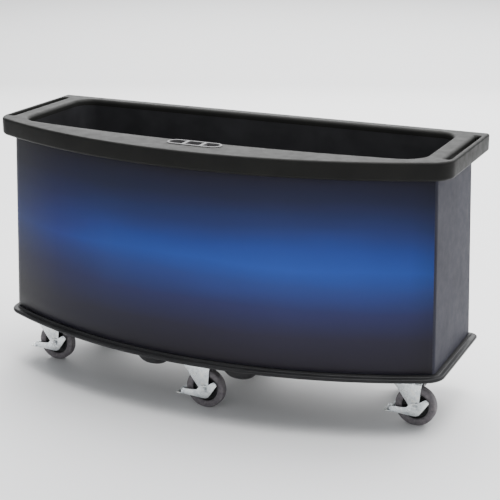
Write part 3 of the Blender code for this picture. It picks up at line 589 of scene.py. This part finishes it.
rim_plastic = moulded_plastic("rim_plastic", (0.0095, 0.0095, 0.0090),
                              (0.014, 0.014, 0.013), 0.48, specular=0.085)
shell_plastic = moulded_plastic("shell_plastic", (0.030, 0.030, 0.042),
                                (0.040, 0.040, 0.054), 0.50, specular=0.045)
base_plastic = moulded_plastic("base_plastic", (0.014, 0.014, 0.015),
                               (0.022, 0.022, 0.023), 0.42, specular=0.18)
liner_plastic = moulded_plastic("liner_plastic", (0.012, 0.012, 0.013),
                                (0.020, 0.020, 0.022), 0.38)
insert_plastic = moulded_plastic("holder_plastic", (0.050, 0.048, 0.050),
                                 (0.070, 0.068, 0.070), 0.36, grain=1500.0, grain_depth=0.00003)
grate_plastic = moulded_plastic("grate_plastic", (0.060, 0.060, 0.063),
                                (0.085, 0.085, 0.090), 0.48)
core_plastic = moulded_plastic("wheel_core", (0.010, 0.010, 0.011), (0.018, 0.018, 0.020), 0.40)
drain_plastic = moulded_plastic("drain_plastic", (0.52, 0.52, 0.50), (0.62, 0.62, 0.59), 0.42)
graphic = printed_panel("graphic_panel")
zinc = plated_zinc("zinc_plate")
rubber = wheel_rubber("wheel_tread")
foam = insulation("insulation_foam")
frame_paint = powder_coat("frame_steel")
lever_grip = dipped_vinyl("lever_grip")


# ---------------------------------------------------------------- camera, floor and light
def camera():
    """Standing to the right of the customer side, looking slightly down along the bar."""
    yaw, pitch = 0.4289, 0.3070
    forward = Vector((-math.sin(yaw) * math.cos(pitch), math.cos(yaw) * math.cos(pitch),
                      -math.sin(pitch)))
    data = bpy.data.cameras.new("camera")
    data.lens = 94.56
    data.sensor_width = 36.0
    item = bpy.data.objects.new("camera", data)
    item.location = (2.052, -4.262, 2.048)
    item.rotation_euler = forward.to_track_quat("-Z", "Y").to_euler()
    bpy.context.scene.collection.objects.link(item)
    bpy.context.scene.camera = item


def floor():
    outline = [(-30, -30), (30, -30), (30, 30), (-30, 30)]
    mesh = bpy.data.meshes.new("floor")
    mesh.from_pydata([(x, y, 0.0) for x, y in outline], [], [(0, 1, 2, 3)])
    item = bpy.data.objects.new("floor", mesh)
    bpy.context.scene.collection.objects.link(item)
    finish = Finish("pale_floor", 0.7)
    finish.shader.inputs["Base Color"].default_value = (0.90, 0.90, 0.90, 1.0)
    mesh.materials.append(finish.material)


def soft_light(name, location, target, size, power):
    data = bpy.data.lights.new(name, "AREA")
    data.shape = "RECTANGLE"
    data.size, data.size_y = size
    data.energy = power
    item = bpy.data.objects.new(name, data)
    item.location = location
    item.rotation_euler = (Vector(target) - Vector(location)).to_track_quat("-Z", "Y").to_euler()
    item.visible_camera = False
    bpy.context.scene.collection.objects.link(item)


def studio():
    """A pale room, light from behind and overhead, a lit floor and weak fill from two sides."""
    world = bpy.data.worlds.new("studio")
    bpy.context.scene.world = world
    world.use_nodes = True
    background = world.node_tree.nodes["Background"]
    background.inputs["Color"].default_value = (0.93, 0.96, 1.0, 1.0)
    background.inputs["Strength"].default_value = 0.45
    soft_light("back_wall", (-2.2, 5.2, 2.6), (0, 0, 0.9), (9.0, 3.6), 170)
    soft_light("overhead", (0.2, 0.3, 4.2), (0, 0, 0), (5.0, 3.0), 420)
    soft_light("floor_wash", (0.0, 8.0, 5.5), (0, 8.0, 0), (16.0, 9.0), 1900)
    soft_light("right_bank", (5.2, -0.6, 1.6), (0.6, 0, 0.6), (3.0, 2.4), 22)
    soft_light("front_fill", (-0.6, -5.0, 2.6), (0, 0, 0.5), (4.0, 2.0), 20)


# ---------------------------------------------------------------- rim, well and body
def handle_slot(side):
    """Cutter for a hand slot: a wide roll on the deck side, a small one on the bar."""
    middle_y = sum(SLOT_Y) / 2
    half_y = (SLOT_Y[1] - SLOT_Y[0]) / 2
    deck_roll, bar_roll = SLOT_ROLL, 0.003
    levels = [(DECK_UNDERSIDE - 0.02, 0.0, 0.0)]
    steps = 7
    for step in range(steps + 1):
        angle = math.pi / 2 * step / steps
        z = HEIGHT - deck_roll * (1 - math.sin(angle))
        bar = bar_roll * (1 - math.cos(max(0.0, angle * 1.6 - 0.94)))
        levels.append((z, deck_roll * (1 - math.cos(angle)), bar))
    levels.append((HEIGHT + 0.01, levels[-1][1], levels[-1][2]))
    rings = []
    for z, wider, bar in levels:
        low, high = SLOT_X[0] - wider, SLOT_X[1] + bar
        outline = rounded_rectangle((high - low) / 2, half_y + wider / 2, SLOT_CORNER, 6)
        rings.append(at_height(shift(outline, side * (low + high) / 2, middle_y), z))
    return loft("handle_slot", rings)


def slot_edge(side):
    """The deck made thicker beside a hand slot, so that its edge can roll over widely."""
    margin = 0.012
    low, high = sorted((side * SLOT_EDGE_X, side * (SLOT_X[0] + 0.004)))
    return block("slot_edge", (low, SLOT_Y[0] - margin, SLOT_EDGE_BOTTOM),
                 (high, SLOT_Y[1] + margin, HEIGHT - 0.004))


def rim():
    """Deck, deep fascia and rolled lip in one moulding, with a hand slot at each end."""
    edge, foot = RIM_EDGE_RADIUS, RIM_FOOT
    outside = arc((foot, FASCIA_BOTTOM + foot), foot, 270, 180, 7)
    outside += arc((edge, HEIGHT - edge), edge, 180, 90, ROLL_STEPS)
    lip = arc((LIP_ROLL, HEIGHT - LIP_ROLL), LIP_ROLL, 90, 180, ROLL_STEPS)
    lip += [(0.0, HEIGHT - LIP_DEPTH), (LIP_THICKNESS, HEIGHT - LIP_DEPTH),
            (LIP_THICKNESS, DECK_UNDERSIDE)]
    underside = [(RIM_BAR, DECK_UNDERSIDE), (RIM_BAR, FASCIA_BOTTOM)]
    rings = [at_height(rim_outline(inset), z) for inset, z in outside]
    rings += [at_height(well_outline(-outset), z) for outset, z in lip]
    rings += [at_height(rim_outline(inset), z) for inset, z in underside]
    mesh = loft("rim", rings, closed=True)
    opening = shift(stadium(HOLDER_HALF[0] - 0.006, HOLDER_HALF[1] - 0.006), 0, HOLDER_Y)
    cutters = [prism("holder_opening", opening, DECK_UNDERSIDE - 0.01, HEIGHT + 0.01)]
    cutters += [handle_slot(side) for side in (-1, 1)]
    edges = joined("slot_edges", [slot_edge(side) for side in (-1, 1)])
    mesh = combine(mesh, [("UNION", edges), ("DIFFERENCE", joined("openings", cutters))])
    piece("rim", mesh, rim_plastic, "cart", ["top_rim"])


def liner():
    """Drafted tub with rounded corners and a rounded floor."""
    inner = [at_height(well_outline(0.0), LINER_TOP)]
    outer = [at_height(well_outline(-LINER_WALL), LINER_TOP)]
    radius = WELL_FLOOR_RADIUS
    lean = WELL_DRAFT * (LINER_TOP - WELL_FLOOR - radius) / (LINER_TOP - WELL_FLOOR)
    steps = 10
    for step in range(steps + 1):
        angle = math.pi / 2 * step / steps
        z = WELL_FLOOR + radius * (1 - math.sin(angle))
        inset = lean + radius * (1 - math.cos(angle))
        inner.append(at_height(well_outline(inset), z))
        outer.append(at_height(well_outline(inset - LINER_WALL * math.cos(angle)),
                               z - LINER_WALL * math.sin(angle)))
    mesh = loft("liner", outer[::-1] + inner)
    drain = cylinder("drain_hole", DRAIN_BORE_LINER, -0.02, 0.02)
    mesh = combine(mesh, [("DIFFERENCE", moved(drain, *centre_of("drain_locknut"), WELL_FLOOR))])
    piece("well_liner", mesh, liner_plastic, "cart", ["ice_well"])


def shell():
    """Drafted wall round all four sides, with a shallow rolled edge at its foot."""
    heights = [(shell_low.z, 0.0012), (shell_low.z + 0.0012, 0.0)]
    levels = 6
    heights += [(shell_low.z + (shell_high.z - shell_low.z) * step / levels, 0.0)
                for step in range(1, levels + 1)]
    rings = [at_height(wall_outline(z, inset), z) for z, inset in heights]
    rings.append(at_height(wall_outline(shell_high.z, SHELL_WALL), shell_high.z))
    rings.append(at_height(wall_outline(shell_low.z, SHELL_WALL), shell_low.z))
    mesh = loft("shell", rings, closed=True)
    piece("body_wall", mesh, shell_plastic, "cart", ["body_shell"])


def panel():
    """The thin printed sheet that covers the whole curved front, corner to corner."""
    rings = []
    count = FRONT_STEPS + 1
    levels = 12
    for step in range(levels + 1):
        z = panel_low.z + (panel_high.z - panel_low.z) * step / levels
        front = wall_outline(z, 0.0)[:count]
        spokes = [Vector((x, y - RIM_ARC_Y)).normalized() for x, y in front]
        inner = [Vector(point) + spoke * GAP for point, spoke in zip(front, spokes)]
        outer = [point + spoke * PANEL_THICKNESS for point, spoke in zip(inner, spokes)]
        rings.append(at_height([*outer, *reversed(inner)], z))
    mesh = rounded(loft("panel", rings), 0.0008, 2, 60)
    piece("printed_panel", mesh, graphic, "cart", ["front_panel"])


def skirt():
    """Base with a cove and a rounded bumper lip, six caster pads and two moulded pods."""
    cove, lip, foot = SKIRT_COVE, SKIRT_LIP, SKIRT_FOOT
    profile = arc((SKIRT_LEDGE - cove, SKIRT_TOP), cove, 0, -90, 6)
    profile += arc((SKIRT_FACE + lip, SKIRT_TOP - cove - lip), lip, 90, 180, 8)
    profile += arc((SKIRT_FACE + foot, SKIRT_BOTTOM + foot), foot, 180, 270, 6)
    rings = [at_height(rim_outline(inset, SKIRT_FRONT_CORNER, SKIRT_REAR_CORNER), z)
             for inset, z in profile]
    mesh = loft("skirt", rings)
    hubs = [swivel_axis(place) for place in casters]
    steps = [("UNION", joined("pads", [caster_pad(x, y) for x, y in hubs])),
             ("UNION", joined("pods", [pod(side) for side in (-1, 1)]))]
    drain = cylinder("drain_hole", DRAIN_BORE_BASE, SKIRT_BOTTOM - 0.06, SKIRT_TOP + 0.06)
    steps.append(("DIFFERENCE", moved(drain, *centre_of("drain_pipe"))))
    piece("base", combine(mesh, steps), base_plastic, "cart", ["base_skirt"])


def caster_pad(x, y):
    """A drafted boss that brings the base down to the caster plate."""
    edge, draft = 0.004, 0.005
    levels = [(-inset, z) for inset, z in arc((edge, PAD_BOTTOM + edge), edge, 270, 180, 4)]
    levels.append((draft, SKIRT_BOTTOM + 0.004))
    rings = []
    for wider, z in levels:
        outline = rounded_rectangle(PAD_HALF[0] + wider, PAD_HALF[1] + wider, PAD_CORNER, 6)
        rings.append(at_height(shift(outline, x, y), z))
    return loft("caster_pad", rings)


def pod(side):
    """A rounded stiffening pod hanging under the base, either side of the middle caster."""
    rings = []
    height = SKIRT_BOTTOM - POD_BOTTOM
    steps = 14
    for step in range(steps + 1):
        angle = math.pi / 2 * (step + 0.6) / (steps + 0.6)
        spread = math.sin(angle) ** 0.7
        z = POD_BOTTOM + height * (1 - math.cos(angle)) + 0.004 * step / steps
        outline = rounded_rectangle(POD_HALF[0] * spread, POD_HALF[1] * spread,
                                    min(POD_HALF) * spread * 0.8, 8)
        rings.append(at_height(shift(outline, side * POD_X, POD_Y), z))
    return loft("pod", rings)


# ---------------------------------------------------------------- holder and false bottoms
def caddy():
    """Oblong drop-in caddy with three pockets parted by two ribs."""
    low, seat, top = holder_low.z, HEIGHT + GAP, holder_high.z
    sections = [(HOLDER_FLANGE + 0.002, low), (HOLDER_FLANGE, low + 0.002), (HOLDER_FLANGE, seat),
                (0.0004, seat)]
    sections += [(inset, z) for inset, z in arc((0.0024, top - 0.0024), 0.0024, 180, 90, 5)]
    rings = []
    for inset, z in sections:
        outline = stadium(HOLDER_HALF[0] - inset, HOLDER_HALF[1] - inset)
        rings.append(at_height(shift(outline, 0, HOLDER_Y), z))
    pockets = joined("pockets", [pocket(index) for index in (-1, 0, 1)])
    mesh = combine(loft("caddy", rings), [("DIFFERENCE", pockets)])
    piece("accessory_caddy", rounded(mesh, 0.0010, 2, 50), insert_plastic, "cart",
          ["accessory_holder"])


def pocket(index):
    """One compartment: square in the middle, round-ended at either side."""
    floor_z, top_z = holder_low.z + 0.004, holder_high.z + 0.02
    half_y = HOLDER_HALF[1] - HOLDER_FLANGE - POCKET_WALL / 2
    full = HOLDER_HALF[0] - HOLDER_FLANGE - POCKET_WALL / 2
    cell = (2 * full - 2 * POCKET_RIB) / 6
    if index == 0:
        outline = rounded_rectangle(cell, half_y, 0.006, 6)
    else:
        inner = cell + POCKET_RIB
        outline = [(inner, -half_y), *arc((full - half_y, 0), half_y, -90, 90, 24),
                   (inner, half_y)]
        outline = [(index * x, y) for x, y in outline][::index]
    return prism("pocket", shift(outline, 0, HOLDER_Y), floor_z, top_z)


def false_bottom(side):
    """Half of the slotted grate that keeps ice out of the melt water; it lifts straight out."""
    name = "left" if side < 0 else "right"
    low, high = WELL_FLOOR + GRATE_RISE, grate_high.z
    plate = prism("grate", well_outline(WELL_DRAFT + GRATE_MARGIN), low, high)
    split = grate_low.x * side
    other = block("other_half", (min(-side, split), -1.0, 0.0), (max(-side, split), 1.0, HEIGHT))
    foot = rounded_rectangle(0.006, 0.006, 0.002, 4)
    feet = [prism("foot", shift(foot, side * x, y), WELL_FLOOR + GAP, low + 0.002)
            for x in GRATE_FEET_X for y in GRATE_FEET_Y]
    slot = [(y, x) for x, y in stadium(*GRATE_SLOT_HALF, 6)]
    slots = []
    for column in range(GRATE_SLOTS[0]):
        for row in range(GRATE_SLOTS[1]):
            x = side * (GRATE_FIRST_SLOT[0] + GRATE_PITCH[0] * column)
            y = GRATE_FIRST_SLOT[1] + GRATE_PITCH[1] * row
            slots.append(prism("slot", shift(slot, x, y), low - 0.01, high + 0.01))
    mesh = combine(plate, [("UNION", joined("feet", feet)), ("DIFFERENCE", other),
                           ("DIFFERENCE", joined("slots", slots))])
    piece(f"slotted_grate_{name}", mesh, grate_plastic, f"grate_{name}",
          [f"false_bottom_{name}"])


# ---------------------------------------------------------------- casters
casters = sorted(body.removeprefix("fork_") for body in frame["bodies"] if body.startswith("fork_"))
braked = {body.removeprefix("pedal_") for body in frame["bodies"] if body.startswith("pedal_")}


def swivel_axis(place):
    joint = next(joint for joint in frame["joints"] if joint["name"] == f"swivel_{place}")
    return joint["pos_m"][0], joint["pos_m"][1]


def hexagon(name, across, low, high, axis="Y"):
    """Bolt head or nut with chamfered corners."""
    corner = across / math.sqrt(3)
    sides = turned(name, [(0, low), (corner, low), (corner, high), (0, high)], 6, axis)
    cone = turned("chamfer", [(0, low - 0.001), (corner * 0.88, low - 0.0004),
                              (corner * 1.02, low + 0.0012), (corner * 1.02, high - 0.0012),
                              (corner * 0.88, high + 0.0004), (0, high + 0.001)], 48, axis)
    return combine(sides, [("INTERSECT", cone)])


def plate_mesh():
    """Top plate with four bolts and washers, bearing race and riveted kingpin."""
    size_x, size_y, thickness = PLATE_SIZE
    under = PLATE_TOP - thickness
    plate = prism("plate", rounded_rectangle(size_x / 2, size_y / 2, 0.010), under, PLATE_TOP)
    plate = rounded(plate, 0.0008, 2)
    parts = [plate]
    for x in (-0.041, 0.041):
        for y in (-0.032, 0.032):
            parts.append(moved(cylinder("washer", 0.0098, under - 0.0012, under + 0.0002), x, y))
            parts.append(moved(hexagon("bolt", 0.0150, under - 0.0060, under - 0.0010, "Z"), x, y))
    race = [(0, under + 0.001), (0.0310, under + 0.001), (0.0310, under - 0.003),
            (0.0300, under - 0.0055), (0.0280, RACE_BOTTOM), (KINGPIN_RADIUS, RACE_BOTTOM),
            (KINGPIN_RADIUS, CROWN_UNDER - GAP), (0.0120, CROWN_UNDER - GAP),
            (0.0112, CROWN_UNDER - 0.0030), (0.0080, CROWN_UNDER - 0.0048),
            (0, CROWN_UNDER - 0.0050)]
    parts.append(turned("race", race, 64))
    return joined("caster_plate", parts)


def fork_mesh():
    """Pressed yoke: rounded shoulders, two tapering legs and a crown that carries the race."""
    outer = FORK_INNER + FORK_WALL
    boss = 0.016
    profile = arc((0.0405, CROWN_TOP - 0.0045), 0.0045, 0, 90, 4)
    profile += arc((-0.0545, CROWN_TOP - 0.0045), 0.0045, 90, 180, 4)
    profile += [(-0.059, 0.157), (-0.052, 0.150)]
    profile += arc((SWIVEL_TRAIL, WHEEL_RADIUS), boss, 216, 356, 20)
    profile += [(0.0435, 0.147), (0.045, 0.157)]
    yoke = side_plate("fork", profile, -outer, outer)
    shoulders = shift(rounded_rectangle(outer, 0.075, 0.0075, 8), 0, CROWN_TOP - 0.075)
    shoulders = loft("shoulders", [[(x, y, z) for y, z in shoulders] for x in (-0.1, 0.1)])
    channel = shift(rounded_rectangle(FORK_INNER, 0.10, 0.0045, 6), 0, CROWN_UNDER - 0.10)
    channel = loft("channel", [[(x, y, z) for y, z in channel] for x in (-0.1, 0.1)])
    bowl = turned("bowl", [(0, CROWN_UNDER + 0.0005),
                           *arc((0.0300, CROWN_UNDER + 0.0035), 0.003, -90, 0, 4),
                           *arc((0.0315, BOWL_TOP - 0.0015), 0.0015, 0, 90, 4), (0, BOWL_TOP)], 72)
    king = cylinder("king", KINGPIN_RADIUS + 0.0005, 0.15, 0.19)
    mesh = combine(yoke, [("INTERSECT", shoulders), ("DIFFERENCE", channel), ("UNION", bowl),
                          ("DIFFERENCE", king), ("DIFFERENCE", axle_hole())])
    return rounded(mesh, 0.0007, 2, 50)


def axle_hole():
    hole = cylinder("axle_hole", AXLE_RADIUS + 0.0004, -0.06, 0.06, 32, "Y")
    return moved(hole, SWIVEL_TRAIL, 0, WHEEL_RADIUS)


def axle_mesh(has_pedal):
    """Axle bolt with its hexagon head on one side, a nut on the other and thread past it."""
    face = FORK_INNER + FORK_WALL + (PEDAL_WALL + 0.0008 if has_pedal else 0.0) + GAP
    end = face + 0.006
    thread = [(0, -end - 0.003)]
    turns = 3
    for turn in range(turns):
        z = -end - 0.003 + 0.001 * turn
        thread += [(AXLE_RADIUS - 0.0006, z + 0.0001), (AXLE_RADIUS, z + 0.0005)]
    thread += [(AXLE_RADIUS, end - 0.001), (0, end - 0.001)]
    parts = [turned("bolt", thread, 32, "Y")]
    for low in (face + 0.0010, -end):
        parts.append(hexagon("hexagon", 0.0180, low, low + 0.005))
    for low in (face, -face - 0.0010):
        parts.append(cylinder("washer", 0.0104, low, low + 0.0010, 40, "Y"))
    return moved(joined("axle", parts), SWIVEL_TRAIL, 0, WHEEL_RADIUS)


def mirrored_profile(half):
    return half + [(radius, -y) for radius, y in reversed(half)]


def core_mesh():
    """Dished hub with a raised boss, a bearing ring, a rim bead and shallow spokes."""
    half = [(AXLE_RADIUS + 0.0004, 0.0205), (0.0100, 0.0205), (0.0104, 0.0198),
            (0.0150, 0.0198), (0.0165, 0.0190), (0.0180, 0.0150), (0.0205, 0.0085),
            (0.0225, 0.0080), (0.0420, 0.0080), (0.0440, 0.0086), (0.0460, 0.0115),
            (0.0470, 0.0130), (0.0485, 0.0136), (CORE_RADIUS, 0.0130)]
    core = turned("core", mirrored_profile(half), WHEEL_STEPS, "Y")
    count = 8
    spokes = []
    for index in range(count):
        spoke = block("spoke", (0.0170, -0.0108, -0.0016), (0.0455, 0.0108, 0.0016))
        spoke.transform(Matrix.Rotation(math.tau * index / count, 4, "Y"))
        spokes.append(spoke)
    mesh = combine(core, [("UNION", joined("spokes", spokes))])
    return moved(rounded(mesh, 0.0005, 1, 55), SWIVEL_TRAIL, 0, WHEEL_RADIUS)


def tread_mesh():
    """Solid tyre with a rounded shoulder and a shallow step beside the hub."""
    side = WHEEL_WIDTH / 2
    half = [(CORE_RADIUS + GAP, side - 0.0045), (0.0520, side - 0.0022), (0.0545, side - 0.0008),
            (0.0580, side)]
    half += [(radius, y) for radius, y in arc((0.0690, side - 0.0070), 0.0070, 90, 8, 8)]
    mesh = turned("tread", mirrored_profile(half), WHEEL_STEPS, "Y")
    return moved(mesh, SWIVEL_TRAIL, 0, WHEEL_RADIUS)


def pedal_mesh():
    """Brake stirrup on the axle: a plate outside each leg, an ear behind, a ribbed foot bar."""
    inner = FORK_INNER + FORK_WALL + 0.0005
    profile = [(0.054, 0.022), (0.052, 0.029), (0.043, 0.036), (0.036, 0.0325), (0.014, 0.017),
               (0.002, 0.0145), (-0.010, 0.013), (-0.021, 0.005), (-0.030, -0.005),
               (-0.050, -0.0078), (-0.086, -0.009), (-0.093, -0.014), (-0.093, -0.030),
               (-0.020, -0.034), (-0.006, -0.0350), (0.008, -0.034), (0.018, -0.029),
               (0.024, -0.022)]
    profile = shift(profile, SWIVEL_TRAIL, WHEEL_RADIUS)
    outer = inner + PEDAL_WALL
    stirrup = side_plate("pedal", profile, -outer, outer)
    x, z = SWIVEL_TRAIL, WHEEL_RADIUS
    gap = block("gap", (x - 0.084, -inner, z - 0.06), (x + 0.08, inner, z + 0.06))
    above = block("above_foot", (x - 0.12, -inner, z - 0.026), (x - 0.06, inner, z + 0.06))
    foot = block("foot", (x - 0.112, -outer - 0.004, z - 0.0302),
                 (x - 0.0845, outer + 0.004, z - 0.0262))
    mesh = combine(stirrup, [("DIFFERENCE", gap), ("DIFFERENCE", above), ("UNION", foot),
                             ("DIFFERENCE", axle_hole())])
    mesh = rounded(mesh, 0.0008, 2, 45)
    ribs = [block("rib", (x - 0.109 + 0.005 * index, -outer, z - 0.0265),
                  (x - 0.107 + 0.005 * index, outer, z - 0.0252)) for index in range(4)]
    return joined("brake_pedal", [mesh] + ribs)


def caster_set():
    plate, fork, core, tread = plate_mesh(), fork_mesh(), core_mesh(), tread_mesh()
    pedal = pedal_mesh()
    axles = {has_pedal: axle_mesh(has_pedal) for has_pedal in (True, False)}
    for place in casters:
        spot = (*swivel_axis(place), 0.0)
        piece(f"swivel_plate_{place}", plate, zinc, "cart",
              [f"caster_plate_{place}"], place=spot)
        piece(f"yoke_{place}", fork, zinc, f"fork_{place}",
              [f"caster_fork_{place}"], place=spot)
        piece(f"axle_bolt_{place}", axles[place in braked], zinc, f"fork_{place}",
              [f"caster_axle_{place}"], place=spot)
        piece(f"hub_{place}", core, core_plastic, f"wheel_{place}",
              [f"wheel_core_{place}"], place=spot)
        piece(f"tyre_{place}", tread, rubber, f"wheel_{place}",
              [f"wheel_tread_{place}"], place=spot)
        if place in braked:
            piece(f"brake_lever_{place}", pedal, zinc, f"pedal_{place}",
                  [f"brake_pedal_{place}"], place=spot)


# ---------------------------------------------------------------- nodes that keep their CAD shape
def dress_nodes():
    """Materials for the CAD nodes that stay."""
    finishes = {"foam_core": foam, "support_frame": frame_paint, "drain_strainer": zinc,
                "drain_fitting": drain_plastic, "drain_locknut": drain_plastic,
                "drain_pipe": drain_plastic, "drain_valve_body": drain_plastic,
                "drain_valve_ball": zinc, "drain_valve_handle": lever_grip}
    for name, material in finishes.items():
        node = frame["nodes"][name]
        for slot in node.material_slots:
            slot.material = material


camera()
floor()
studio()
rim()
liner()
shell()
panel()
skirt()
caddy()
for half in (-1, 1):
    false_bottom(half)
caster_set()
dress_nodes()
